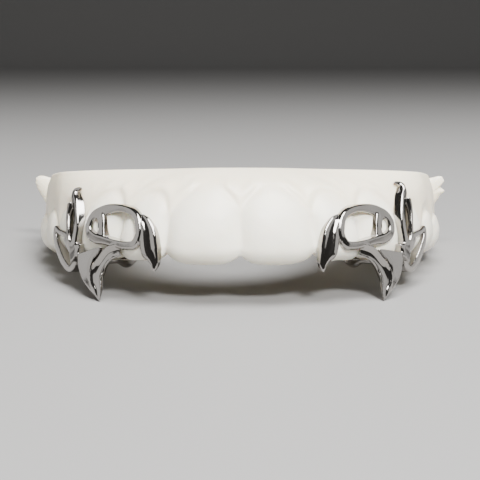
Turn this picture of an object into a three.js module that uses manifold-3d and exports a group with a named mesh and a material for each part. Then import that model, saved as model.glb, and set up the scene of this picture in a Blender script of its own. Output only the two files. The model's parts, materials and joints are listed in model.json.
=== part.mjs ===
// A pair of fang grills on the resin cast of an upper row of teeth.
// Millimetres, +Z up, the front of the teeth faces -Y.
// The cast is drawn along its dental arch: s runs along the row of teeth from
// the midline, n runs outwards from the row and z runs up from the biting edge.
import * as THREE from 'three';
import { mergeVertices } from 'three/addons/utils/BufferGeometryUtils.js';
import Module from 'manifold-3d';

const wasm = await Module();
wasm.setup();

// Dental arch seen from above
const archHalfWidth = 26.5;
const archLength = 44;
const archPower = 2.2;

// Cast
const castTop = 10.95;
const castDepth = 14;
const castEnd = 3.4;
const gumLean = 0.05;
const gumSlope = 1.0;
const sideLean = 0.12;
const grooveDepth = 1.3;
const edgeNotch = 1.1;
const papilla = 2.6;
const flangeReach = 3.7;
const flangeDrop = 3.9;
const flangeThick = 1.6;

// Metal
const metal = 1.0;
const grillHeight = 7.0;
const fangLength = 4.1;
const spireHeight = 8.6;
const spireExtra = 0.7;
const clawSwing = -0.06;
const fangSwing = 0.07;
const clearance = 0.3;

// One row per tooth from the midline: width along the arch, height of the gum
// line, height of the biting edge, bulge of the crown, how far its lower part
// tapers inwards, depth of the biting table and depth of the whole crown.
const TEETH = [
  { width: 8.8, gum: 8.8, edge: 0.0, bulge: 0.75, taper: 0, table: 1.3, crown: 6.0 },
  { width: 6.8, gum: 7.9, edge: 0.5, bulge: 0.55, taper: 0, table: 1.3, crown: 5.6 },
  { width: 7.8, gum: 8.3, edge: 0.2, bulge: 0.7, taper: 0.4, table: 2.0, crown: 7.0 },
  { width: 7.0, gum: 7.0, edge: 0.5, bulge: 0.6, taper: 0.9, table: 4.6, crown: 8.6 },
  { width: 6.8, gum: 6.4, edge: 0.7, bulge: 0.5, taper: 1.4, table: 4.8, crown: 9.0 },
  { width: 10.2, gum: 6.2, edge: 0.4, bulge: 0.6, taper: 2.2, table: 5.6, crown: 10.4 },
  { width: 9.5, gum: 6.2, edge: 1.3, bulge: 0.6, taper: 2.2, table: 5.4, crown: 10.0 },
];

// Places along the row, counted in teeth from the midline
const toothEnds = [0];
for (const tooth of TEETH) toothEnds.push(toothEnds.at(-1) + tooth.width);
const rowEnd = toothEnds.at(-1);
const castHalfRow = rowEnd + castEnd;

function alongRow(teeth) {
  const i = Math.min(Math.floor(teeth), TEETH.length - 1);
  return toothEnds[i] + (teeth - i) * TEETH[i].width;
}

// The arch is a superellipse: its points are listed with their running length
const arch = [];
const ARCH_STEPS = 600;
for (let i = 0; i <= ARCH_STEPS; i += 1) {
  const angle = (Math.PI / 2) * (i / ARCH_STEPS);
  const x = archHalfWidth * Math.sin(angle) ** (2 / archPower);
  const y = archLength * (1 - Math.cos(angle) ** (2 / archPower));
  const last = arch.at(-1);
  const run = last ? last.run + Math.hypot(x - last.x, y - last.y) : 0;
  arch.push({ x, y, run });
}

function archPlace(s) {
  const side = s < 0 ? -1 : 1;
  const run = Math.abs(s);
  const whole = arch.at(-1).run;
  if (run >= whole) {
    return { x: side * archHalfWidth, y: archLength + run - whole, nx: side, ny: 0 };
  }
  let i = 1;
  while (arch[i].run < run) i += 1;
  const a = arch[i - 1];
  const b = arch[i];
  const f = (run - a.run) / (b.run - a.run);
  const x = a.x + f * (b.x - a.x);
  const y = a.y + f * (b.y - a.y);
  const gx = (x / archHalfWidth) ** (archPower - 1) / archHalfWidth;
  const gy = -(((archLength - y) / archLength) ** (archPower - 1)) / archLength;
  const size = Math.hypot(gx, gy);
  return { x: side * x, y, nx: (side * gx) / size, ny: gy / size };
}

function bend(s, n, z) {
  const place = archPlace(s);
  return new THREE.Vector3(place.x + place.nx * n, place.y + place.ny * n, z);
}

function smooth(a, b, x) {
  const f = Math.min(Math.max((x - a) / (b - a), 0), 1);
  return f * f * (3 - 2 * f);
}

// How far the outer face of the cast leans back at a height: the crowns lean a
// little, the gum above them falls away faster, and the sides stand steeper.
function face(s, z) {
  const up = Math.max(z, 0);
  const gumFoot = TEETH[0].gum;
  const over = Math.max(up - gumFoot, 0);
  const front = 1 - (1 - sideLean) * smooth(alongRow(1.5), alongRow(4.5), Math.abs(s));
  return -front * (gumLean * up * up + gumSlope * over);
}

// Tooth measures at a place on the row, blended from one crown to the next
function toothAt(s) {
  const run = Math.min(Math.abs(s), rowEnd);
  let i = 0;
  while (i < TEETH.length - 1 && run > toothEnds[i + 1]) i += 1;
  const across = (2 * (run - toothEnds[i])) / TEETH[i].width - 1;
  const next = Math.min(Math.max(i + Math.sign(across), 0), TEETH.length - 1);
  const f = Math.abs(across) / 2;
  const blend = (key) => TEETH[i][key] * (1 - f) + TEETH[next][key] * f;
  return { across, gum: blend('gum'), edge: blend('edge'), bulge: blend('bulge'),
    taper: blend('taper'), table: blend('table'), crown: blend('crown') };
}

// Key points of the cast's section, as distance out and height, from the outer
// rim of the flat top over the crown to the inner rim
function castKeys(s) {
  const tooth = toothAt(s);
  const side = Math.abs(tooth.across);
  const gap = side ** 4;
  const pad = smooth(rowEnd - 1.5, castHalfRow, Math.abs(s));
  const gum = tooth.gum - papilla * side ** 2.2 * (1 - pad);
  const edge = (tooth.edge + edgeNotch * gap) * (1 - pad) + 0.55 * tooth.gum * pad;
  const bulge = (tooth.bulge - grooveDepth * side ** 3) * (1 - pad);
  const high = gum - edge;
  const over = castTop - gum;
  const table = tooth.table;
  const taper = tooth.taper * (1 - pad);
  const crown = tooth.crown;
  const pit = Math.max(table - 2.6, 0) * 0.28 * (1 - pad);
  const at = (out, z) => [face(s, z) + out, z];
  return [
    at(0, castTop),
    at(0.15, gum + 0.72 * over),
    at(0.1, gum + 0.3 * over),
    at(-0.2, gum),
    at(0.6 * bulge, gum - 0.12 * high),
    at(bulge, gum - 0.4 * high),
    at(bulge - 0.2 * taper, gum - 0.68 * high),
    at(0.75 * bulge - 0.1 - 0.65 * taper, edge + 0.12 * high),
    at(-0.75 - taper, edge),
    [-0.75 - taper - 0.45 * table, edge + pit],
    [-0.75 - taper - table, edge + 0.05 * high],
    [-1.0 - taper - table, edge + 0.3 * high],
    [-crown, edge + 0.62 * high],
    [-crown - 0.6, gum - 0.05 * high],
    [-crown - 0.35 * (castDepth - crown), gum + 0.55 * over],
    [-castDepth, castTop],
  ];
}

// A solid made from a closed sleeve: place(k, t) gives the point at the share
// k around and the share t along
function sleeve(around, steps, place) {
  const shape = new THREE.CylinderGeometry(1, 1, 1, around, steps);
  const at = shape.attributes.position;
  for (let i = 0; i < at.count; i += 1) {
    const t = 0.5 - at.getY(i);
    const point = new THREE.Vector3();
    if (Math.hypot(at.getX(i), at.getZ(i)) < 0.5) {
      for (let j = 0; j < around; j += 1) point.add(place(j / around, t));
      point.divideScalar(around);
    } else {
      const turn = Math.atan2(at.getX(i), at.getZ(i)) / (2 * Math.PI);
      const j = (Math.round(turn * around) + around) % around;
      point.copy(place(j / around, t));
    }
    at.setXYZ(i, point.x, point.y, point.z);
  }
  return solid(shape);
}

// The same for a sleeve that closes on itself
function ring(around, steps, place) {
  const shape = new THREE.TorusGeometry(1, 0.3, around, steps);
  const at = shape.attributes.position;
  const uv = shape.attributes.uv;
  for (let i = 0; i < at.count; i += 1) {
    const t = (Math.round(uv.getX(i) * steps) % steps) / steps;
    const k = (Math.round(uv.getY(i) * around) % around) / around;
    const point = place(k, t);
    at.setXYZ(i, point.x, point.y, point.z);
  }
  return solid(shape);
}

// A merged solid whose faces point outwards
function solid(geometry) {
  const bare = geometry.clone();
  bare.deleteAttribute('normal');
  bare.deleteAttribute('uv');
  const merged = mergeVertices(bare, 1e-5);
  const points = merged.attributes.position;
  const index = Array.from(merged.index.array);
  const tris = [];
  let volume = 0;
  for (let i = 0; i < index.length; i += 3) {
    const [a, b, c] = index.slice(i, i + 3);
    if (a === b || b === c || c === a) continue;
    tris.push(a, b, c);
    const pa = new THREE.Vector3().fromBufferAttribute(points, a);
    const pb = new THREE.Vector3().fromBufferAttribute(points, b);
    const pc = new THREE.Vector3().fromBufferAttribute(points, c);
    volume += pa.dot(pb.cross(pc));
  }
  if (volume < 0) {
    for (let i = 0; i < tris.length; i += 3) [tris[i], tris[i + 1]] = [tris[i + 1], tris[i]];
  }
  const mesh = new wasm.Mesh({
    numProp: 3,
    vertProperties: Float32Array.from(points.array),
    triVerts: Uint32Array.from(tris),
  });
  return new wasm.Manifold(mesh);
}

function geometryOf(body) {
  const mesh = body.getMesh();
  const geometry = new THREE.BufferGeometry();
  geometry.setAttribute('position', new THREE.BufferAttribute(mesh.vertProperties, 3));
  geometry.setIndex(new THREE.BufferAttribute(mesh.triVerts, 1));
  geometry.computeVertexNormals();
  return geometry;
}

// The cast, or the cast grown on all sides by the clearance of what sits on it
const CAST_AROUND = 26;
const CAST_STEPS = 104;

function castSection(s, grow) {
  const keys = castKeys(s).map(([n, z]) => new THREE.Vector3(n, z, 0));
  const curve = new THREE.CatmullRomCurve3(keys, false, 'centripetal');
  const points = [];
  for (let j = 0; j < CAST_AROUND; j += 1) {
    points.push(curve.getPoint(j / (CAST_AROUND - 1)));
  }
  if (grow === 0) return points;
  return points.map((p, j) => {
    const before = points[(j + CAST_AROUND - 1) % CAST_AROUND];
    const after = points[(j + 1) % CAST_AROUND];
    const run = new THREE.Vector3().subVectors(after, before).normalize();
    return new THREE.Vector3(p.x - run.y * grow, p.y + run.x * grow, 0);
  });
}

function castBody(grow) {
  const sections = [];
  for (let i = 0; i <= CAST_STEPS; i += 1) {
    const s = castHalfRow * ((2 * i) / CAST_STEPS - 1);
    sections.push(castSection(s, grow).map((p) => bend(s, p.x, p.y)));
  }
  return sleeve(CAST_AROUND, CAST_STEPS, (k, t) => {
    return sections[Math.round(t * CAST_STEPS)][Math.round(k * CAST_AROUND)];
  });
}

// Thin torn flange at each rear top corner of the cast
function flange(side) {
  const outline = new THREE.Shape();
  outline.moveTo(-flangeReach, 0);
  outline.lineTo(0.08 * flangeReach, 0);
  outline.lineTo(0.4 * flangeReach, 0.13 * flangeDrop);
  outline.lineTo(0.94 * flangeReach, 0.14 * flangeDrop);
  outline.lineTo(flangeReach, -0.1 * flangeDrop);
  outline.lineTo(0.66 * flangeReach, -0.45 * flangeDrop);
  outline.lineTo(0.3 * flangeReach, -flangeDrop);
  outline.lineTo(-flangeReach, -1.5 * flangeDrop);
  outline.closePath();
  const slab = new THREE.ExtrudeGeometry(outline, {
    depth: flangeThick,
    steps: 1,
    bevelEnabled: false,
  });
  const rim = bend(castHalfRow, face(castHalfRow, castTop), castTop);
  slab.rotateX(Math.PI / 2);
  slab.scale(side, 1, 1);
  slab.translate(side * rim.x, rim.y - 0.02, rim.z);
  return solid(slab);
}

// Sections of the limbs, in shares of the half width and the half depth: flat
// band, square-edged slab, horn with a sloped side, crest beside a hollow, and
// round arm. A positive width points at the midline on a limb that runs down
// and at a frame's window on a ring.
const BAND = [
  [-1, -1], [-1, 0.1], [-0.7, 0.75], [-0.15, 1],
  [0.5, 1], [0.85, 0.8], [1, 0.3], [1, -1],
];
const SLAB = [
  [-1, -1], [-1, 0], [-1, 0.7], [-0.75, 1],
  [0.6, 1], [1, 0.75], [1, 0], [1, -1],
];
const HORN = [
  [-1, -1], [-1, 0.6], [-0.75, 0.95], [-0.3, 1], [0, 0.7],
  [0.4, 0.5], [0.8, 0.5], [1, 0.2], [1, -1],
];
const CREST = [
  [-1, -0.5], [-1, 0.6], [-0.88, 1], [-0.6, 0.55], [-0.1, 0.2],
  [0.5, 0.15], [0.85, 0.3], [1, 0.05], [0.7, -0.7], [-0.4, -0.8],
];
const ROUND = [
  [-1, 0], [-0.7, 0.7], [0, 1], [0.7, 0.7],
  [1, 0], [0.7, -0.7], [0, -1], [-0.7, -0.7],
];

// A limb of a grill. Each row gives its place along the row of teeth, its
// height as a share of the limb's own named height, its distance out from the
// face of the cast, its half width along the face and its half depth, the last
// three as shares of the metal's thickness.
function limb(side, rows, section, options) {
  const { steps, closed = false, tall = grillHeight, over = false } = options;
  const middle = rows.map(([teeth, up, out]) => {
    const s = side * alongRow(teeth);
    const z = up * tall;
    const lean = over ? 0 : face(s, z);
    return bend(s, lean + out * metal, z);
  });
  const sizes = rows.map(([, , , wide, deep]) => new THREE.Vector3(wide * metal, deep * metal, 0));
  const path = new THREE.CatmullRomCurve3(middle, closed, 'centripetal');
  const girth = new THREE.CatmullRomCurve3(sizes, closed, 'centripetal');
  const place = (k, t) => {
    const centre = path.getPoint(t);
    const tangent = path.getTangent(t);
    const size = girth.getPoint(t);
    const share = t * (rows.length - (closed ? 0 : 1));
    const row = rows[Math.floor(share) % rows.length];
    const next = rows[(Math.floor(share) + 1) % rows.length];
    const teeth = row[0] + (share - Math.floor(share)) * (next[0] - row[0]);
    const spot = archPlace(side * alongRow(teeth));
    const outward = over
      ? new THREE.Vector3(-side * spot.ny, side * spot.nx, 0)
      : new THREE.Vector3(spot.nx, spot.ny, 0);
    const across = new THREE.Vector3().crossVectors(tangent, outward).normalize();
    const out = new THREE.Vector3().crossVectors(across, tangent).normalize();
    const [wide, deep] = section[Math.round(k * section.length)];
    return centre
      .addScaledVector(across, side * size.x * wide)
      .addScaledVector(out, size.y * deep);
  };
  const make = closed ? ring : sleeve;
  return make(section.length, steps, place);
}

// Pierced frame over the lateral incisor, closed round its two windows
const FRAME = [
  [1.404, 0.46, 0.4, 0.42, 0.8],
  [1.449, 0.625, 0.4, 0.42, 0.8],
  [1.53, 0.745, 0.4, 0.42, 0.8],
  [1.684, 0.835, 0.4, 0.42, 0.8],
  [1.917, 0.89, 0.4, 0.42, 0.75],
  [2.134, 0.9, 0.4, 0.52, 0.75],
  [2.345, 0.86, 0.42, 0.66, 0.75],
  [2.53, 0.76, 0.5, 0.62, 0.72],
  [2.56, 0.64, 0.5, 0.6, 0.72],
  [2.51, 0.5, 0.5, 0.62, 0.72],
  [2.34, 0.405, 0.45, 0.6, 0.75],
  [2.134, 0.37, 0.4, 0.52, 0.75],
  [1.88, 0.326, 0.4, 0.45, 0.75],
  [1.6, 0.29, 0.4, 0.5, 0.75],
  [1.46, 0.32, 0.4, 0.52, 0.8],
];

// Bar between the two windows
const BAR = [
  [2.39, 0.82, 0.45, 0.55, 0.6],
  [2.31, 0.675, 0.42, 0.58, 0.6],
  [2.245, 0.512, 0.42, 0.58, 0.6],
  [2.19, 0.38, 0.45, 0.55, 0.6],
];

// Rim round the small window, set lower than the frame
const WELL = [
  [2.3, 0.6, 0.65, 0.28, 0.42],
  [2.4, 0.73, 0.65, 0.28, 0.42],
  [2.54, 0.78, 0.6, 0.28, 0.42],
  [2.635, 0.73, 0.6, 0.28, 0.42],
  [2.63, 0.6, 0.6, 0.28, 0.42],
  [2.53, 0.47, 0.65, 0.28, 0.42],
  [2.39, 0.41, 0.65, 0.28, 0.42],
  [2.295, 0.47, 0.65, 0.28, 0.42],
];

// Claw that hangs from the frame's front end, ridge on the window side
const CLAW = [
  [1.48, 0.77, 0.35, 0.22, 0.5],
  [1.37, 0.68, 0.5, 0.6, 0.65],
  [1.28, 0.54, 0.5, 0.88, 0.65],
  [1.235, 0.4, 0.5, 1.05, 0.65],
  [1.18, 0.22, 0.5, 1.05, 0.7],
  [1.115, 0.1, 0.5, 0.68, 0.6],
  [1.085, 0.0, 0.6, 0.42, 0.4],
  [1.09, -0.08, 0.75, 0.2, 0.2],
  [1.1, -0.12, 0.8, 0.05, 0.05],
];

// Hollow side of the long fang, from the underside of the frame to the tip,
// heights as shares of the fang's own length
const FANG = [
  [1.8, 0.4, 0.6, 0.72, 0.45],
  [1.95, 0.29, 0.9, 0.76, 0.6],
  [2.05, 0.07, 1.15, 0.66, 0.65],
  [2.1, -0.11, 1.35, 0.79, 0.7],
  [2.11, -0.29, 1.6, 0.9, 0.65],
  [2.08, -0.48, 1.9, 0.81, 0.55],
  [2.015, -0.71, 2.2, 0.59, 0.4],
  [1.94, -1.0, 2.6, 0.05, 0.05],
];

// Flat side of the long fang, from the foot of the spire to the tip
const WEB = [
  [2.44, 0.3, 0.45, 2.5, 0.8],
  [2.41, 0.0, 0.8, 1.68, 0.9],
  [2.345, -0.27, 1.1, 1.1, 0.9],
  [2.245, -0.49, 1.45, 0.66, 0.8],
  [2.08, -0.75, 2.0, 0.36, 0.5],
  [1.965, -0.97, 2.5, 0.05, 0.05],
];

// Front rail of the spire with the hooked horn on top, as shares of its height
const SPIRE = [
  [2.78, 0.04, 0.6, 1.0, 0.8],
  [2.84, 0.13, 0.45, 1.25, 0.8],
  [2.9, 0.225, 0.45, 0.88, 0.75],
  [2.89, 0.31, 0.5, 0.54, 0.62],
  [2.905, 0.47, 0.5, 0.52, 0.6],
  [3.0, 0.65, 0.5, 0.5, 0.6],
  [3.16, 0.8, 0.42, 0.62, 0.6],
  [3.29, 0.9, 0.35, 0.52, 0.6],
  [3.33, 0.97, 0.4, 0.38, 0.45],
  [3.27, 1.01, 0.42, 0.22, 0.25],
  [3.18, 1.01, 0.5, 0.06, 0.06],
];

// Thin outer rail of the spire
const RAIL = [
  [2.99, 0.24, 0.35, 0.42, 0.8],
  [3.07, 0.308, 0.4, 0.34, 0.8],
  [3.15, 0.47, 0.4, 0.3, 0.8],
  [3.25, 0.654, 0.4, 0.3, 0.8],
  [3.3, 0.8, 0.4, 0.42, 0.75],
];

// Junction where fang, spire and wing flow together
const JOINT = [
  [2.7, 0.2, 0.35, 0.8, 0.75],
  [2.95, 0.24, 0.35, 0.8, 0.75],
  [3.15, 0.33, 0.4, 0.45, 0.65],
  [3.3, 0.42, 0.4, 0.3, 0.5],
];

// Ring-shaped wing over the first premolar
const WING = [
  [3.175, 0.42, 0.35, 0.38, 0.65],
  [3.6, 0.52, 0.35, 0.34, 0.6],
  [3.8, 0.57, 0.35, 0.34, 0.55],
  [3.77, 0.43, 0.35, 0.42, 0.6],
  [3.5, 0.17, 0.35, 0.5, 0.65],
  [3.26, -0.01, 0.35, 0.48, 0.65],
  [3.04, -0.1, 0.35, 0.42, 0.6],
  [2.88, 0.0, 0.35, 0.42, 0.6],
  [2.98, 0.2, 0.35, 0.45, 0.65],
];

// Arm from the fang under the biting edge to the plate behind the teeth.
// Distances out count from the arch, not from the leaning face.
const ARM = [
  [2.3, 0.02, 0.9, 0.8, 0.6],
  [2.2, 0.05, 0.0, 0.5, 0.6],
  [2.18, 0.06, -1.5, 0.45, 0.6],
  [2.24, 0.06, -3.0, 0.95, 0.7],
  [2.38, 0.1, -4.4, 1.15, 0.9],
  [2.5, 0.3, -6.0, 1.3, 0.8],
  [2.58, 0.5, -7.2, 1.0, 0.5],
];

// Plate along the backs of the lateral incisor and the canine
const PLATE = [
  [1.6, 0.42, -4.6, 0.6, 0.5],
  [1.9, 0.38, -5.8, 1.2, 0.7],
  [2.2, 0.35, -6.8, 1.6, 0.7],
  [2.6, 0.35, -7.7, 1.5, 0.7],
  [2.9, 0.35, -8.6, 0.9, 0.5],
];

// The same limb with its free end moved along the row by a few parts of a tooth
function swung(rows, amount) {
  const last = rows.length - 1;
  return rows.map(([teeth, ...rest], i) => [teeth + (amount * i) / last, ...rest]);
}

function grill(side, extra, clawSwing, fangSwing) {
  const spire = spireHeight + extra;
  const parts = [
    limb(side, FRAME, BAND, { steps: 34, closed: true }),
    limb(side, BAR, SLAB, { steps: 5 }),
    limb(side, WELL, ROUND, { steps: 16, closed: true }),
    limb(side, swung(CLAW, clawSwing), HORN, { steps: 14 }),
    limb(side, swung(FANG, fangSwing), CREST, { steps: 22, tall: fangLength }),
    limb(side, swung(WEB, fangSwing), SLAB, { steps: 16, tall: fangLength }),
    limb(side, SPIRE, SLAB, { steps: 20, tall: spire }),
    limb(side, RAIL, SLAB, { steps: 8, tall: spire }),
    limb(side, JOINT, SLAB, { steps: 6 }),
    limb(side, WING, SLAB, { steps: 22, closed: true }),
    limb(side, ARM, ROUND, { steps: 16, over: true }),
    limb(side, PLATE, ROUND, { steps: 10 }),
  ];
  return parts.reduce((whole, part) => whole.add(part));
}

const RESIN = { color: 0xe8e3d6, roughness: 0.5, metalness: 0 };
const POLISHED = { color: 0x9e9c99, roughness: 0.1, metalness: 1 };

const grown = castBody(clearance);
const cast = castBody(0).add(flange(-1)).add(flange(1));
const grillRight = grill(1, spireExtra, clawSwing, fangSwing).subtract(grown);
const grillLeft = grill(-1, 0, 0, 0).subtract(grown);

const castMesh = new THREE.Mesh(geometryOf(cast), new THREE.MeshStandardMaterial(RESIN));
castMesh.name = 'teeth_model';
const leftMesh = new THREE.Mesh(geometryOf(grillLeft), new THREE.MeshStandardMaterial(POLISHED));
leftMesh.name = 'grill_left';
const rightMesh = new THREE.Mesh(geometryOf(grillRight), new THREE.MeshStandardMaterial(POLISHED));
rightMesh.name = 'grill_right';

// The whole thing rests on the two fang tips and the last molars, so it is
// tipped back about the fang tips until the molars touch too.
function lowestPoint(mesh) {
  const at = mesh.geometry.attributes.position;
  let low = new THREE.Vector3(0, 0, Infinity);
  for (let i = 0; i < at.count; i += 1) {
    if (at.getZ(i) < low.z) low = new THREE.Vector3().fromBufferAttribute(at, i);
  }
  return low;
}

const tips = [lowestPoint(leftMesh), lowestPoint(rightMesh)];
const tip = tips[0].y > tips[1].y ? tips[0] : tips[1];
const castPoints = castMesh.geometry.attributes.position;
let tipBack = Math.PI;
for (let i = 0; i < castPoints.count; i += 1) {
  const back = castPoints.getY(i) - tip.y;
  if (back < archLength / 2) continue;
  tipBack = Math.min(tipBack, Math.atan2(castPoints.getZ(i) - tip.z, back));
}

const tipped = new THREE.Group();
tipped.add(castMesh, leftMesh, rightMesh);
tipped.rotation.x = -tipBack;

const whole = new THREE.Group();
whole.add(tipped);
whole.updateMatrixWorld(true);
const box = new THREE.Box3().setFromObject(whole, true);
tipped.position.set(
  -(box.min.x + box.max.x) / 2,
  -(box.min.y + box.max.y) / 2,
  -box.min.z,
);

export default whole;
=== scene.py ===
import json
import bmesh
import bpy
import numpy as np
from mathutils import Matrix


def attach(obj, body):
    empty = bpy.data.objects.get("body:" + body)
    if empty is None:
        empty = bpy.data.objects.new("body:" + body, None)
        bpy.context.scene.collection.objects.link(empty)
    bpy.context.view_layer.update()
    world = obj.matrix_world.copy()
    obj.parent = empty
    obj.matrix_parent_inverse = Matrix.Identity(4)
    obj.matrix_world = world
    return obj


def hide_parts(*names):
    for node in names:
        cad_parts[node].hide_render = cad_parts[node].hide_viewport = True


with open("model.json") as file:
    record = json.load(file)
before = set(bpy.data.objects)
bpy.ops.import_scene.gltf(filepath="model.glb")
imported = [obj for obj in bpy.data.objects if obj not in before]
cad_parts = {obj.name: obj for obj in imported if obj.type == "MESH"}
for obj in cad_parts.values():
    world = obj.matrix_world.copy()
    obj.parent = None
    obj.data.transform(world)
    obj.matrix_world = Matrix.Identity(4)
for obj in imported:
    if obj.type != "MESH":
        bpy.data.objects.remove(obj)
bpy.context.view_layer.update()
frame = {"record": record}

# Where the cast stands: it is tipped back until fang tips and molars touch.
# Its flat trimmed top, a measured face, gives the tilt and the place. Shapes
# are worked out upright in millimetres and then brought to the standing pose.
TOP_HEIGHT = 10.95
TOP_SPOT = np.array([0.0, 11.3, TOP_HEIGHT])
top_face = frame["record"]["mounts"][0]
tilt = np.arctan2(top_face["axis"][1], top_face["axis"][2])
TIP_BACK = np.array([
    [1, 0, 0],
    [0, np.cos(tilt), np.sin(tilt)],
    [0, -np.sin(tilt), np.cos(tilt)],
])
STAND_AT = np.array(top_face["pos_m"]) * 1000 - TIP_BACK @ TOP_SPOT


def stand(points):
    """Turn upright points by the tilt, move them to the standing place and
    give them in metres."""
    return (points @ TIP_BACK.T + STAND_AT) / 1000


# Camera: level with the upright cast, 150 mm in front of the incisors, so it
# looks down on the floor by the tilt of the cast.
LENS_HEIGHT = 3.7
LENS_BACK = 150.0
LENS_DIP = np.radians(0.374)
LENS_FOCUS = 103.5
camera_data = bpy.data.cameras.new("camera")
camera_data.lens = LENS_FOCUS
camera_data.sensor_width = 36
camera_data.clip_start = 0.005
camera_data.clip_end = 20
camera = bpy.data.objects.new("camera", camera_data)
camera.location = stand(np.array([0.0, -LENS_BACK, LENS_HEIGHT]))
camera.rotation_euler = (np.pi / 2 - LENS_DIP - tilt, 0, 0)
bpy.context.scene.collection.objects.link(camera)
bpy.context.scene.camera = camera


# Floor: one pale sheet that runs under the object and rises behind it in a
# wide curve.
SHEET_HALF = 2.0
SHEET_BEND = 0.5
SHEET_BACK = 0.9
SHEET_COLUMNS = 5
SHEET_TURNS = 25


def grid_faces(rows, columns, wrap=False):
    """Quads of a grid of rows by columns; with wrap the last column joins
    the first."""
    r = np.arange(rows - 1)[:, None]
    c = np.arange(columns if wrap else columns - 1)[None, :]
    d = (c + 1) % columns
    faces = np.stack([r * columns + c, r * columns + d,
                      (r + 1) * columns + d, (r + 1) * columns + c], axis=-1)
    return faces.reshape(-1, 4)


def mesh_piece(name, points, faces):
    """A smooth shaded object at the origin from points and a list of faces."""
    mesh = bpy.data.meshes.new(name)
    mesh.from_pydata(points.reshape(-1, 3).tolist(), [],
                     [list(f) for f in faces])
    mesh.validate()
    mesh.polygons.foreach_set("use_smooth", np.full(len(mesh.polygons), True))
    mesh.update()
    piece = bpy.data.objects.new(name, mesh)
    bpy.context.scene.collection.objects.link(piece)
    return piece


def sheet_points():
    """Across: straight. Along: flat until the bend, then a quarter circle,
    then straight up."""
    across = np.linspace(-SHEET_HALF, SHEET_HALF, SHEET_COLUMNS)
    turn = np.linspace(0, np.pi / 2, SHEET_TURNS)
    along = np.concatenate([[-SHEET_HALF],
                            SHEET_BACK + SHEET_BEND * np.sin(turn),
                            [SHEET_BACK + SHEET_BEND]])
    rise = np.concatenate([[0], SHEET_BEND * (1 - np.cos(turn)), [SHEET_HALF]])
    return np.stack([np.tile(across, (len(along), 1)),
                     np.tile(along[:, None], (1, SHEET_COLUMNS)),
                     np.tile(rise[:, None], (1, SHEET_COLUMNS))], axis=-1)


floor = mesh_piece("floor", sheet_points(),
                   grid_faces(SHEET_TURNS + 2, SHEET_COLUMNS))
floor_paint = bpy.data.materials.new("pale_floor")
floor_paint.use_nodes = True
floor_shader = floor_paint.node_tree.nodes["Principled BSDF"]
floor_shader.inputs["Base Color"].default_value = (0.27, 0.265, 0.26, 1)
floor_shader.inputs["Roughness"].default_value = 0.6
floor.data.materials.append(floor_paint)

# Light: a dim even room, a soft box above, two wide panels at the sides that
# lay pale sheets on the polished metal, and a small box in front, which lights
# the cast and is kept out of the metal's reflections.
room = bpy.data.worlds.new("room")
room.use_nodes = True
glow = room.node_tree.nodes["Background"]
glow.inputs["Color"].default_value = (0.9, 0.88, 0.85, 1)
glow.inputs["Strength"].default_value = 0.06
bpy.context.scene.world = room

LIGHTS = [
    # name, place, aimed at, width, height, watts
    ("above", (0.06, -0.04, 0.4), (0, 0, 0), 0.34, 0.26, 4.8),
    ("left", (-0.3, 0.0, 0.13), (0, 0, 0.01), 0.56, 0.26, 0.42),
    ("right", (0.3, 0.06, 0.13), (0, 0, 0.01), 0.4, 0.26, 0.28),
    ("front", (0.12, -0.36, 0.3), (0, 0, 0.005), 0.12, 0.08, 4.6),
]
for name, place, aim, width, height, watts in LIGHTS:
    lamp_data = bpy.data.lights.new(name, "AREA")
    lamp_data.shape = "RECTANGLE"
    lamp_data.size = width
    lamp_data.size_y = height
    lamp_data.energy = watts
    lamp = bpy.data.objects.new(name, lamp_data)
    lamp.location = place
    away = np.array(place) - np.array(aim)
    flat = np.hypot(away[0], away[1])
    lamp.rotation_euler = (np.arctan2(flat, away[2]), 0,
                           np.arctan2(away[0], -away[1]))
    lamp.visible_glossy = name != "front"
    bpy.context.scene.collection.objects.link(lamp)


# The cast: one pour of off-white model resin from an impression of the upper
# teeth. Its base is trimmed flat and it is open behind the palate; the metal
# is tried on it. The surface is satin, a little see-through, finely grained.
ARCH_HALF_WIDTH = 26.5
ARCH_LENGTH = 44.0
ARCH_POWER = 2.2
CAST_DEPTH = 14.0
CAST_END = 3.4
GUM_LEAN = 0.05
GUM_SLOPE = 1.0
SIDE_LEAN = 0.12
GROOVE_DEPTH = 1.3
EDGE_NOTCH = 1.1
PAPILLA = 2.6
PIT_FROM = 2.6
PIT_SHARE = 0.28
END_PAD_SHARE = 0.55
EDGE_ROUND = 0.75
# One row per tooth from the midline: width, gum line, biting edge, bulge,
# inward taper, depth of the biting table, depth of the crown
TEETH = np.array([
    [8.8, 8.8, 0.0, 0.75, 0.0, 1.3, 6.0],
    [6.8, 7.9, 0.5, 0.55, 0.0, 1.3, 5.6],
    [7.8, 8.3, 0.2, 0.70, 0.4, 2.0, 7.0],
    [7.0, 7.0, 0.5, 0.60, 0.9, 4.6, 8.6],
    [6.8, 6.4, 0.7, 0.50, 1.4, 4.8, 9.0],
    [10.2, 6.2, 0.4, 0.60, 2.2, 5.6, 10.4],
    [9.5, 6.2, 1.3, 0.60, 2.2, 5.4, 10.0],
])
tooth_ends = np.concatenate([[0], np.cumsum(TEETH[:, 0])])
row_end = tooth_ends[-1]
cast_half_row = row_end + CAST_END

arch_angle = np.linspace(0, np.pi / 2, 2001)
arch_x = ARCH_HALF_WIDTH * np.sin(arch_angle) ** (2 / ARCH_POWER)
arch_y = ARCH_LENGTH * (1 - np.cos(arch_angle) ** (2 / ARCH_POWER))
arch_steps = np.hypot(np.diff(arch_x), np.diff(arch_y))
arch_run = np.concatenate([[0], np.cumsum(arch_steps)])


def along_row(teeth):
    """Length along the row for a place counted in teeth from the midline."""
    return np.interp(teeth, np.arange(len(tooth_ends)), tooth_ends)


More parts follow.
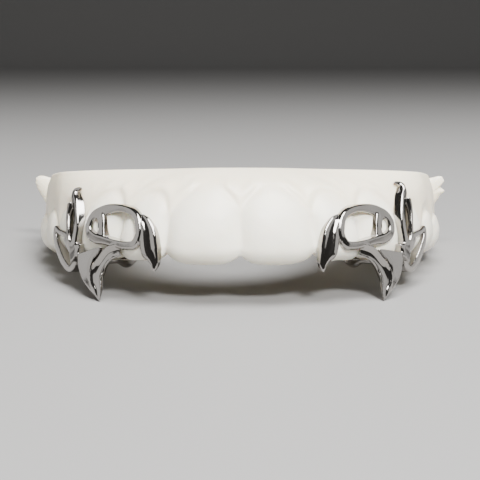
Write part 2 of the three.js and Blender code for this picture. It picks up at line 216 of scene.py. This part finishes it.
def arch_place(s):
    """Point of the superellipse arch at running length s, and its outward
    direction; past its end the arch runs straight back."""
    side = np.where(s < 0, -1.0, 1.0)
    run = np.abs(s)
    past = np.maximum(run - arch_run[-1], 0)
    x = np.interp(run, arch_run, arch_x)
    y = np.interp(run, arch_run, arch_y)
    gx = (x / ARCH_HALF_WIDTH) ** (ARCH_POWER - 1) / ARCH_HALF_WIDTH
    left_over = np.maximum((ARCH_LENGTH - y) / ARCH_LENGTH, 0)
    gy = -(left_over ** (ARCH_POWER - 1)) / ARCH_LENGTH
    size = np.hypot(gx, gy)
    return side * x, y + past, side * gx / size, gy / size


def bend(s, n, z):
    """Carry run s, distance out n and height z onto the arch."""
    x, y, nx, ny = arch_place(s)
    return np.stack([x + nx * n, y + ny * n, z + 0 * n], axis=-1)


def smooth_step(a, b, x):
    """Three f squared minus two f cubed, between a and b."""
    f = np.clip((x - a) / (b - a), 0, 1)
    return f * f * (3 - 2 * f)


def face(s, z):
    """Lean of the outer face: the square of the height on the crowns and a
    steeper line above the gum, less towards the sides."""
    up = np.maximum(z, 0)
    over = np.maximum(up - TEETH[0, 1], 0)
    sideways = smooth_step(along_row(1.5), along_row(4.5), np.abs(s))
    front = 1 - (1 - SIDE_LEAN) * sideways
    return -front * (GUM_LEAN * up * up + GUM_SLOPE * over)


def spline(keys, t, closed=False):
    """Centripetal curve through keys along the second last axis, read at the
    shares t of its key count."""
    count = keys.shape[-2]
    if closed:
        padded = np.concatenate([keys[..., -1:, :], keys, keys[..., :2, :]], axis=-2)
        at = (t % 1.0) * count
        spans = count
    else:
        first = 2 * keys[..., :1, :] - keys[..., 1:2, :]
        last = 2 * keys[..., -1:, :] - keys[..., -2:-1, :]
        padded = np.concatenate([first, keys, last], axis=-2)
        at = t * (count - 1)
        spans = count - 1
    i = np.minimum(np.floor(at + 1e-9).astype(int), spans - 1)
    w = (at - i)[:, None]
    p = [padded[..., i + k, :] for k in range(4)]
    gaps = [np.linalg.norm(p[k + 1] - p[k], axis=-1, keepdims=True)
            for k in range(3)]
    d = [np.maximum(gap, 1e-6) ** 0.5 for gap in gaps]
    m1 = ((p[1] - p[0]) / d[0] - (p[2] - p[0]) / (d[0] + d[1])
          + (p[2] - p[1]) / d[1]) * d[1]
    m2 = ((p[2] - p[1]) / d[1] - (p[3] - p[1]) / (d[1] + d[2])
          + (p[3] - p[2]) / d[2]) * d[1]
    a = 2 * p[1] - 2 * p[2] + m1 + m2
    b = -3 * p[1] + 3 * p[2] - 2 * m1 - m2
    return ((a * w + b) * w + m1) * w + p[1]


def cast_keys(s):
    """Key points of the section at run s: outer rim of the trimmed top, gum,
    crown, biting table, inner crown, palate side, inner rim."""
    run = np.minimum(np.abs(s), row_end - 1e-6)
    i = np.searchsorted(tooth_ends, run, side="right") - 1
    i = np.clip(i, 0, len(TEETH) - 1)
    across = 2 * (run - tooth_ends[i]) / TEETH[i, 0] - 1
    other = np.clip(i + np.sign(across).astype(int), 0, len(TEETH) - 1)
    f = (np.abs(across) / 2)[:, None]
    row = TEETH[i] * (1 - f) + TEETH[other] * f
    _, gum, edge, bulge, taper, table, crown = row.T
    side = np.abs(across)
    pad = smooth_step(row_end - 1.5, cast_half_row, np.abs(s))
    gum_line = gum - PAPILLA * side ** 2.2 * (1 - pad)
    edge = (edge + EDGE_NOTCH * side ** 4) * (1 - pad) + END_PAD_SHARE * gum * pad
    bulge = (bulge - GROOVE_DEPTH * side ** 3) * (1 - pad)
    taper = taper * (1 - pad)
    high = gum_line - edge
    over = TOP_HEIGHT - gum_line
    pit = np.maximum(table - PIT_FROM, 0) * PIT_SHARE * (1 - pad)
    zero = 0 * s
    outer = [
        (zero, TOP_HEIGHT + zero),
        (0.15 + zero, gum_line + 0.72 * over),
        (0.1 + zero, gum_line + 0.3 * over),
        (-0.12 + zero, gum_line),
        (0.52 * bulge, gum_line - 0.12 * high),
        (bulge, gum_line - 0.4 * high),
        (bulge - 0.2 * taper, gum_line - 0.68 * high),
        (0.75 * bulge - 0.1 - 0.65 * taper, edge + 0.12 * high),
        (-EDGE_ROUND - taper, edge),
    ]
    inner = [
        (-EDGE_ROUND - taper - 0.45 * table, edge + pit),
        (-EDGE_ROUND - taper - table, edge + 0.05 * high),
        (-1.0 - taper - table, edge + 0.3 * high),
        (-crown, edge + 0.62 * high),
        (-crown - 0.6, gum_line - 0.05 * high),
        (-crown - 0.35 * (CAST_DEPTH - crown), gum_line + 0.55 * over),
        (-CAST_DEPTH + zero, TOP_HEIGHT + zero),
    ]
    keys = [(face(s, z) + out, z) for out, z in outer] + inner
    return np.stack([np.stack(k, axis=-1) for k in keys], axis=1)


def cast_section(s, around, grow):
    """Spline through the section's keys, pushed out square to itself by grow."""
    section = spline(cast_keys(s), np.linspace(0, 1, around))
    run = np.roll(section, -1, axis=1) - np.roll(section, 1, axis=1)
    run /= np.linalg.norm(run, axis=-1, keepdims=True)
    return section + grow * np.stack([-run[..., 1], run[..., 0]], axis=-1)


WAVE_COUNT = 9
LONG_WAVE = 3.2
SHORT_WAVE = 1.3


def waves(points, size, seed):
    """Soft unevenness: a sum of nine sine waves in fixed odd directions."""
    rng = np.random.default_rng(seed)
    total = np.zeros(points.shape[:-1])
    for _ in range(WAVE_COUNT):
        way = rng.normal(size=3)
        way *= 2 * np.pi / (size * rng.uniform(0.6, 1.6) * np.linalg.norm(way))
        total += np.sin(points @ way + rng.uniform(0, 6.28))
    return total / WAVE_COUNT


CAST_AROUND = 110
CAST_STATIONS = 420
CAST_UNEVEN = 0.05


def cast_points(around, stations, grow=0.0, uneven=0.0):
    """Sections carried along the arch, with three more lines on the flat top;
    the outside is a little uneven, as a hand-trimmed pour is."""
    s = np.linspace(-cast_half_row, cast_half_row, stations)
    section = cast_section(s, around, grow)
    top_in, top_out = section[:, -1], section[:, 0]
    top = [top_in * (1 - f) + top_out * f for f in (0.02, 0.5, 0.98)]
    section = np.concatenate([section, np.stack(top, axis=1)], axis=1)
    points = bend(s[:, None], section[..., 0], section[..., 1])
    _, _, nx, ny = arch_place(s)
    push = (uneven * waves(points, LONG_WAVE, 11)
            + 0.5 * uneven * waves(points, SHORT_WAVE, 12))
    out = np.stack([nx, ny, 0 * nx], axis=-1)[:, None, :]
    fade = np.ones(points.shape[1])
    fade[-3:] = 0.2
    return points + out * (push * fade)[..., None]


def tube_faces(stations, around):
    """Quads along a tube and one many-sided face at each end."""
    sides = grid_faces(stations, around, wrap=True).tolist()
    start = list(range(around))[::-1]
    end = list(range((stations - 1) * around, stations * around))
    return sides + [start, end]


def crown_share(stations, around):
    """One on the crowns, nought on the gum, from the place in the section."""
    share = np.linspace(0, 15, around)
    mask = smooth_step(1.6, 5.2, share) * (1 - smooth_step(12.4, 13.4, share))
    return np.tile(np.concatenate([mask, [0, 0, 0]]), stations)


# Thin torn flanges at the two rear corners, where the impression ended:
# outline in shares of reach and drop, from the rim of the trimmed top.
FLANGE_REACH = 3.55
FLANGE_DROP = 3.9
FLANGE_THICK = 1.5
FLANGE_AROUND = 72
FLANGE_RINGS = 15
FLANGE_INSET = 0.05
TORN = 0.03
RING_START = 0.06
FLANGE_LEFT = np.array([
    [-0.9, -0.1], [0.1, 0.0], [0.5, 0.12], [0.93, 0.13],
    [1.0, 0.0], [0.96, -0.22], [0.82, -0.48], [0.64, -0.76],
    [0.46, -1.08], [0.1, -1.55], [-0.9, -1.6],
])
FLANGE_RIGHT = np.array([
    [-0.9, -0.1], [0.1, 0.0], [0.5, 0.1], [0.9, 0.12],
    [0.98, -0.05], [0.84, -0.24], [1.0, -0.4], [0.84, -0.55],
    [0.66, -0.8], [0.44, -1.15], [0.1, -1.6], [-0.9, -1.6],
])


def pillow(outline, side):
    """Closed lens: rings are the outline shrunk by the sine of a half turn
    about its middle, set in depth by the cosine; the edge waves a little."""
    t = np.linspace(0, 1, FLANGE_AROUND, endpoint=False)
    edge = spline(outline * [FLANGE_REACH, FLANGE_DROP], t, closed=True)
    edge = edge + TORN * np.stack([np.sin(13 * t * 6.283),
                                   np.cos(9 * t * 6.283)], axis=-1)
    middle = edge.mean(axis=0)
    turn = np.linspace(RING_START, np.pi - RING_START, FLANGE_RINGS)
    ring = np.sin(turn)[:, None, None]
    flat = middle + ring * (edge - middle)
    depth = np.cos(turn)[:, None] * FLANGE_THICK / 2 * np.ones(FLANGE_AROUND)
    lean = face(np.array([cast_half_row]), np.array([TOP_HEIGHT]))[0]
    rim_x = ARCH_HALF_WIDTH + lean
    rear_y = arch_place(np.array([cast_half_row]))[1][0]
    rim_y = rear_y - FLANGE_THICK / 2 - FLANGE_INSET
    return np.stack([side * (rim_x + flat[..., 0]), rim_y + depth,
                     TOP_HEIGHT + flat[..., 1]], axis=-1)


cast_shape = cast_points(CAST_AROUND, CAST_STATIONS, uneven=CAST_UNEVEN)
cast_columns = cast_shape.shape[1]
cast_all = [cast_shape.reshape(-1, 3)]
cast_faces = tube_faces(CAST_STATIONS, cast_columns)
crown_mask = [crown_share(CAST_STATIONS, CAST_AROUND)]
for outline, side in ((FLANGE_LEFT, -1), (FLANGE_RIGHT, 1)):
    lens = pillow(outline, side)
    offset = sum(len(a) for a in cast_all)
    faces = tube_faces(lens.shape[0], lens.shape[1])
    cast_faces += [[offset + v for v in f][::-side] for f in faces]
    cast_all.append(lens.reshape(-1, 3))
    crown_mask.append(np.zeros(lens.shape[0] * lens.shape[1]))
cast = mesh_piece("cast_gum_and_teeth", stand(np.concatenate(cast_all)), cast_faces)
crowns = cast.data.attributes.new("crowns", "FLOAT", "POINT")
crowns.data.foreach_set("value", np.concatenate(crown_mask))

resin = bpy.data.materials.new("satin_resin")
resin.use_nodes = True
tree = resin.node_tree
shader = tree.nodes["Principled BSDF"]
where = tree.nodes.new("ShaderNodeTexCoord")
cloud = tree.nodes.new("ShaderNodeTexNoise")
cloud.inputs["Scale"].default_value = 260
cloud.inputs["Detail"].default_value = 4
grain = tree.nodes.new("ShaderNodeTexNoise")
grain.inputs["Scale"].default_value = 5200
grain.inputs["Detail"].default_value = 3
mask = tree.nodes.new("ShaderNodeAttribute")
mask.attribute_name = "crowns"
gum_tint = tree.nodes.new("ShaderNodeMix")
gum_tint.data_type = "RGBA"
gum_tint.inputs["A"].default_value = (0.92, 0.81, 0.62, 1)
gum_tint.inputs["B"].default_value = (0.95, 0.87, 0.70, 1)
whole_tint = tree.nodes.new("ShaderNodeMix")
whole_tint.data_type = "RGBA"
whole_tint.inputs["B"].default_value = (0.94, 0.89, 0.76, 1)
rough = tree.nodes.new("ShaderNodeMapRange")
rough.inputs["To Min"].default_value = 0.24
rough.inputs["To Max"].default_value = 0.4
bump = tree.nodes.new("ShaderNodeBump")
bump.inputs["Strength"].default_value = 0.28
bump.inputs["Distance"].default_value = 0.00006
link = tree.links.new
link(where.outputs["Object"], cloud.inputs["Vector"])
link(where.outputs["Object"], grain.inputs["Vector"])
link(cloud.outputs["Fac"], gum_tint.inputs["Factor"])
link(gum_tint.outputs["Result"], whole_tint.inputs["A"])
link(mask.outputs["Fac"], whole_tint.inputs["Factor"])
link(whole_tint.outputs["Result"], shader.inputs["Base Color"])
link(grain.outputs["Fac"], rough.inputs["Value"])
link(rough.outputs["Result"], shader.inputs["Roughness"])
link(grain.outputs["Fac"], bump.inputs["Height"])
link(bump.outputs["Normal"], shader.inputs["Normal"])
shader.inputs["Subsurface Weight"].default_value = 0.25
shader.inputs["Subsurface Radius"].default_value = (1.0, 0.8, 0.55)
shader.inputs["Subsurface Scale"].default_value = 0.0012
shader.inputs["IOR"].default_value = 1.5
cast.data.materials.append(resin)
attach(cast, "root")
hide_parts("teeth_model")


# The two grills: each is cast in silver in one piece from a wax carved on the
# teeth, then plated and mirror polished. Limbs flow into each other in soft
# fillets; it holds by its close fit round the canine and its lateral neighbour.
METAL = 1.0
GRILL_HEIGHT = 7.0
FANG_LENGTH = 4.1
SPIRE_HEIGHT = 8.6
SPIRE_EXTRA = 0.7
CLAW_SWING = -0.06
FANG_SWING = 0.07
SEAT_GAP = 0.04
LIMB_FINE = 4
LIMB_STEPS = 70
SMALL_STEP = 1e-4
VOXEL = 0.074
SEAT_AROUND = 70
SEAT_STATIONS = 260

# Rows of a limb: place along the row in teeth, height as a share of the limb's
# named height, distance out, half width and half depth in metal thicknesses
FRAME = [
    [1.404, 0.46, 0.4, 0.42, 0.8], [1.449, 0.625, 0.4, 0.42, 0.8],
    [1.53, 0.745, 0.4, 0.42, 0.8], [1.684, 0.835, 0.4, 0.42, 0.8],
    [1.917, 0.89, 0.4, 0.42, 0.75], [2.134, 0.9, 0.4, 0.52, 0.75],
    [2.345, 0.86, 0.42, 0.66, 0.75], [2.53, 0.76, 0.5, 0.62, 0.72],
    [2.56, 0.64, 0.5, 0.6, 0.72], [2.51, 0.5, 0.5, 0.62, 0.72],
    [2.34, 0.405, 0.45, 0.6, 0.75], [2.134, 0.37, 0.4, 0.52, 0.75],
    [1.88, 0.326, 0.4, 0.45, 0.75], [1.6, 0.29, 0.4, 0.5, 0.75],
    [1.46, 0.32, 0.4, 0.52, 0.8],
]
BAR = [
    [2.39, 0.82, 0.45, 0.55, 0.6], [2.31, 0.675, 0.42, 0.58, 0.6],
    [2.245, 0.512, 0.42, 0.58, 0.6], [2.19, 0.38, 0.45, 0.55, 0.6],
]
WELL = [
    [2.3, 0.6, 0.65, 0.28, 0.42], [2.4, 0.73, 0.65, 0.28, 0.42],
    [2.54, 0.78, 0.6, 0.28, 0.42], [2.635, 0.73, 0.6, 0.28, 0.42],
    [2.63, 0.6, 0.6, 0.28, 0.42], [2.53, 0.47, 0.65, 0.28, 0.42],
    [2.39, 0.41, 0.65, 0.28, 0.42], [2.295, 0.47, 0.65, 0.28, 0.42],
]
CLAW = [
    [1.48, 0.77, 0.35, 0.22, 0.5], [1.37, 0.68, 0.5, 0.6, 0.65],
    [1.28, 0.54, 0.5, 0.88, 0.65], [1.235, 0.4, 0.5, 1.05, 0.65],
    [1.18, 0.22, 0.5, 1.05, 0.7], [1.115, 0.1, 0.5, 0.68, 0.6],
    [1.085, 0.0, 0.6, 0.42, 0.4], [1.09, -0.08, 0.75, 0.2, 0.2],
    [1.1, -0.12, 0.8, 0.05, 0.05],
]
FANG = [
    [1.8, 0.4, 0.6, 0.72, 0.45], [1.95, 0.29, 0.9, 0.76, 0.6],
    [2.05, 0.07, 1.15, 0.66, 0.65], [2.1, -0.11, 1.35, 0.79, 0.7],
    [2.11, -0.29, 1.6, 0.9, 0.65], [2.08, -0.48, 1.9, 0.81, 0.55],
    [2.015, -0.71, 2.2, 0.59, 0.4], [1.94, -1.0, 2.6, 0.05, 0.05],
]
WEB = [
    [2.44, 0.3, 0.45, 2.5, 0.8], [2.41, 0.0, 0.8, 1.68, 0.9],
    [2.345, -0.27, 1.1, 1.1, 0.9], [2.245, -0.49, 1.45, 0.66, 0.8],
    [2.08, -0.75, 2.0, 0.36, 0.5], [1.965, -0.97, 2.5, 0.05, 0.05],
]
SPIRE = [
    [2.78, 0.04, 0.6, 1.0, 0.8], [2.84, 0.13, 0.45, 1.25, 0.8],
    [2.9, 0.225, 0.45, 0.88, 0.75], [2.89, 0.31, 0.5, 0.54, 0.62],
    [2.905, 0.47, 0.5, 0.52, 0.6], [3.0, 0.65, 0.5, 0.5, 0.6],
    [3.16, 0.8, 0.42, 0.62, 0.6], [3.29, 0.9, 0.35, 0.52, 0.6],
    [3.33, 0.97, 0.4, 0.38, 0.45], [3.27, 1.01, 0.42, 0.22, 0.25],
    [3.18, 1.01, 0.5, 0.06, 0.06],
]
RAIL = [
    [2.99, 0.24, 0.35, 0.42, 0.8], [3.07, 0.308, 0.4, 0.34, 0.8],
    [3.15, 0.47, 0.4, 0.3, 0.8], [3.25, 0.654, 0.4, 0.3, 0.8],
    [3.3, 0.8, 0.4, 0.42, 0.75],
]
JOINT = [
    [2.7, 0.2, 0.35, 0.8, 0.75], [2.95, 0.24, 0.35, 0.8, 0.75],
    [3.15, 0.33, 0.4, 0.45, 0.65], [3.3, 0.42, 0.4, 0.3, 0.5],
]
WING = [
    [3.175, 0.42, 0.35, 0.38, 0.65], [3.6, 0.52, 0.35, 0.34, 0.6],
    [3.8, 0.57, 0.35, 0.34, 0.55], [3.77, 0.43, 0.35, 0.42, 0.6],
    [3.5, 0.17, 0.35, 0.5, 0.65], [3.26, -0.01, 0.35, 0.48, 0.65],
    [3.04, -0.1, 0.35, 0.42, 0.6], [2.88, 0.0, 0.35, 0.42, 0.6],
    [2.98, 0.2, 0.35, 0.45, 0.65],
]
ARM = [
    [2.3, 0.02, 0.9, 0.8, 0.6], [2.2, 0.05, 0.0, 0.5, 0.6],
    [2.18, 0.06, -1.5, 0.45, 0.6], [2.24, 0.06, -3.0, 0.95, 0.7],
    [2.38, 0.1, -4.4, 1.15, 0.9], [2.5, 0.3, -6.0, 1.3, 0.8],
    [2.58, 0.5, -7.2, 1.0, 0.5],
]
PLATE = [
    [1.6, 0.42, -4.6, 0.6, 0.5], [1.9, 0.38, -5.8, 1.2, 0.7],
    [2.2, 0.35, -6.8, 1.6, 0.7], [2.6, 0.35, -7.7, 1.5, 0.7],
    [2.9, 0.35, -8.6, 0.9, 0.5],
]


# Sections as shares of half width and half depth: a flat band, a square-edged
# slab, a horn with a sloped side, a crested fang with a hollow side, a round arm
BAND = [
    [-1, -1], [-1, 0.3], [-0.85, 0.8], [-0.5, 1],
    [0.8, 1], [1, 0.8], [1, 0.2], [1, -1],
]
SLAB = [
    [-1, -1], [-1, 0], [-1, 0.7], [-0.75, 1],
    [0.6, 1], [1, 0.75], [1, 0], [1, -1],
]
HORN = [
    [-1, -1], [-1, 0.6], [-0.75, 0.95], [-0.3, 1],
    [0, 0.7], [0.4, 0.5], [0.8, 0.5], [1, 0.2],
    [1, -1],
]
CREST = [
    [-1, -0.5], [-1, 0.6], [-0.88, 1], [-0.6, 0.55],
    [-0.1, 0.2], [0.5, 0.15], [0.85, 0.3], [1, 0.05],
    [0.7, -0.7], [-0.4, -0.8],
]
ROUND = [
    [-1, 0], [-0.7, 0.7], [0, 1], [0.7, 0.7],
    [1, 0], [0.7, -0.7], [0, -1], [-0.7, -0.7],
]


def swung(rows, amount):
    """Rows whose place moves along the row, from none at the first to the
    whole amount at the last."""
    rows = np.array(rows)
    rows[:, 0] += amount * np.linspace(0, 1, len(rows))
    return rows


def limb(side, rows, section, tall, closed=False, over=False):
    """A section carried along a curve through the rows, its corners joined by
    straight lines of LIMB_FINE points. It stands square to the curve, with its
    depth along the outward direction, or along the arch over a biting edge."""
    rows = np.array(rows)
    t = np.linspace(0, 1, LIMB_STEPS, endpoint=not closed)
    s = side * along_row(rows[:, 0])
    z = rows[:, 1] * tall
    middle = bend(s, (0 * s if over else face(s, z)) + rows[:, 2] * METAL, z)
    centre = spline(middle, t, closed)
    tangent = (spline(middle, t + SMALL_STEP, closed)
               - spline(middle, t - SMALL_STEP, closed))
    tangent /= np.linalg.norm(tangent, axis=-1, keepdims=True)
    girth = spline(rows[:, 3:5] * METAL, t, closed)
    share = t * (len(rows) - (0 if closed else 1))
    teeth = np.interp(share, np.arange(len(rows) + 1),
                      np.append(rows[:, 0], rows[0, 0]))
    _, _, nx, ny = arch_place(side * along_row(teeth))
    outward = np.stack([nx, ny, 0 * nx], axis=-1)
    if over:
        outward = side * np.stack([-ny, nx, 0 * nx], axis=-1)
    across = np.cross(tangent, outward)
    across /= np.linalg.norm(across, axis=-1, keepdims=True)
    out = np.cross(across, tangent)
    corners = np.array(section + section[:1], dtype=float)
    at = np.arange(0, len(section), 1 / LIMB_FINE)
    wide, deep = (np.interp(at, np.arange(len(corners)), corners[:, k])
                  for k in (0, 1))
    points = (centre[:, None]
              + side * across[:, None] * (girth[:, :1] * wide)[..., None]
              + out[:, None] * (girth[:, 1:] * deep)[..., None])
    return points[:, ::side], closed


def join_limbs(limbs):
    """One list of points and faces for all limbs, each closed by itself."""
    points, faces, offset = [], [], 0
    for shape, closed in limbs:
        rows, around = shape.shape[:2]
        if closed:
            quads = grid_faces(rows, around, wrap=True).tolist()
            last = np.arange(around)
            ahead = (last + 1) % around
            base = (rows - 1) * around
            quads += np.stack([base + last, base + ahead, ahead, last],
                              axis=-1).tolist()
        else:
            quads = tube_faces(rows, around)
        faces += [[offset + v for v in f] for f in quads]
        points.append(shape.reshape(-1, 3))
        offset += rows * around
    return np.concatenate(points), faces


def settled(piece):
    """Replace a piece's mesh with the result of its modifiers."""
    scene_now = bpy.context.evaluated_depsgraph_get()
    mesh = bpy.data.meshes.new_from_object(piece.evaluated_get(scene_now))
    piece.modifiers.clear()
    piece.data = mesh


def one_body(piece):
    """Keep the largest connected part: each point takes the lowest number
    among its neighbours until nothing changes."""
    mesh = piece.data
    ends = np.empty(len(mesh.edges) * 2, dtype=int)
    mesh.edges.foreach_get("vertices", ends)
    ends = ends.reshape(-1, 2)
    label = np.arange(len(mesh.vertices))
    changed = True
    while changed:
        low = label[ends].min(axis=1)
        lower = label.copy()
        np.minimum.at(lower, ends[:, 0], low)
        np.minimum.at(lower, ends[:, 1], low)
        lower = lower[lower]
        changed = bool((lower != label).any())
        label = lower
    largest = np.bincount(label).argmax()
    whole = bmesh.new()
    whole.from_mesh(mesh)
    whole.verts.ensure_lookup_table()
    stray = [whole.verts[i] for i in np.flatnonzero(label != largest)]
    bmesh.ops.delete(whole, geom=stray, context="VERTS")
    whole.to_mesh(mesh)
    whole.free()


# What is cut from the metal: the cast, grown by the gap that the metal keeps.
seat_shape = cast_points(SEAT_AROUND, SEAT_STATIONS, grow=SEAT_GAP)
seat = mesh_piece("seat", seat_shape,
                  tube_faces(SEAT_STATIONS, seat_shape.shape[1]))

polished = bpy.data.materials.new("polished_silver")
polished.use_nodes = True
tree = polished.node_tree
shader = tree.nodes["Principled BSDF"]
where = tree.nodes.new("ShaderNodeTexCoord")
tone = tree.nodes.new("ShaderNodeTexNoise")
tone.inputs["Scale"].default_value = 420
tone.inputs["Detail"].default_value = 3
tint = tree.nodes.new("ShaderNodeMix")
tint.data_type = "RGBA"
tint.inputs["A"].default_value = (0.37, 0.35, 0.33, 1)
tint.inputs["B"].default_value = (0.47, 0.45, 0.425, 1)
buff = tree.nodes.new("ShaderNodeTexNoise")
buff.inputs["Scale"].default_value = 2600
buff.inputs["Detail"].default_value = 4
shine = tree.nodes.new("ShaderNodeMapRange")
shine.inputs["To Min"].default_value = 0.06
shine.inputs["To Max"].default_value = 0.17
ripple = tree.nodes.new("ShaderNodeBump")
ripple.inputs["Strength"].default_value = 0.12
ripple.inputs["Distance"].default_value = 0.00003
link = tree.links.new
link(where.outputs["Object"], tone.inputs["Vector"])
link(where.outputs["Object"], buff.inputs["Vector"])
link(tone.outputs["Fac"], tint.inputs["Factor"])
link(tint.outputs["Result"], shader.inputs["Base Color"])
link(buff.outputs["Fac"], shine.inputs["Value"])
link(shine.outputs["Result"], shader.inputs["Roughness"])
link(tone.outputs["Fac"], ripple.inputs["Height"])
link(ripple.outputs["Normal"], shader.inputs["Normal"])
shader.inputs["Metallic"].default_value = 1.0

GRILLS = [
    # piece, side, taller spire, swing of the claw, swing of the fang
    ("grill_left", -1, 0.0, 0.0, 0.0),
    ("grill_right", 1, SPIRE_EXTRA, CLAW_SWING, FANG_SWING),
]
for node, side, extra, claw_swing, fang_swing in GRILLS:
    spire = SPIRE_HEIGHT + extra
    limbs = [
        limb(side, FRAME, BAND, GRILL_HEIGHT, closed=True),
        limb(side, BAR, SLAB, GRILL_HEIGHT),
        limb(side, WELL, ROUND, GRILL_HEIGHT, closed=True),
        limb(side, swung(CLAW, claw_swing), HORN, GRILL_HEIGHT),
        limb(side, swung(FANG, fang_swing), CREST, FANG_LENGTH),
        limb(side, swung(WEB, fang_swing), SLAB, FANG_LENGTH),
        limb(side, SPIRE, SLAB, spire),
        limb(side, RAIL, SLAB, spire),
        limb(side, JOINT, SLAB, GRILL_HEIGHT),
        limb(side, WING, SLAB, GRILL_HEIGHT, closed=True),
        limb(side, ARM, ROUND, GRILL_HEIGHT, over=True),
        limb(side, PLATE, ROUND, GRILL_HEIGHT),
    ]
    points, faces = join_limbs(limbs)
    piece = mesh_piece(node + "_polished", points, faces)
    blend = piece.modifiers.new("blend", "REMESH")
    blend.mode = "VOXEL"
    blend.voxel_size = VOXEL
    blend.use_smooth_shade = True
    soften = piece.modifiers.new("soften", "SMOOTH")
    soften.factor = 0.5
    soften.iterations = 3
    cut = piece.modifiers.new("cut", "BOOLEAN")
    cut.operation = "DIFFERENCE"
    cut.object = seat
    cut.solver = "FAST"
    settled(piece)
    one_body(piece)
    count = len(piece.data.vertices)
    upright = np.empty(count * 3)
    piece.data.vertices.foreach_get("co", upright)
    piece.data.vertices.foreach_set("co", stand(upright.reshape(-1, 3)).ravel())
    piece.data.update()
    piece.data.materials.clear()
    piece.data.materials.append(polished)
    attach(piece, "root")
    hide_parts(node)
bpy.data.objects.remove(seat)
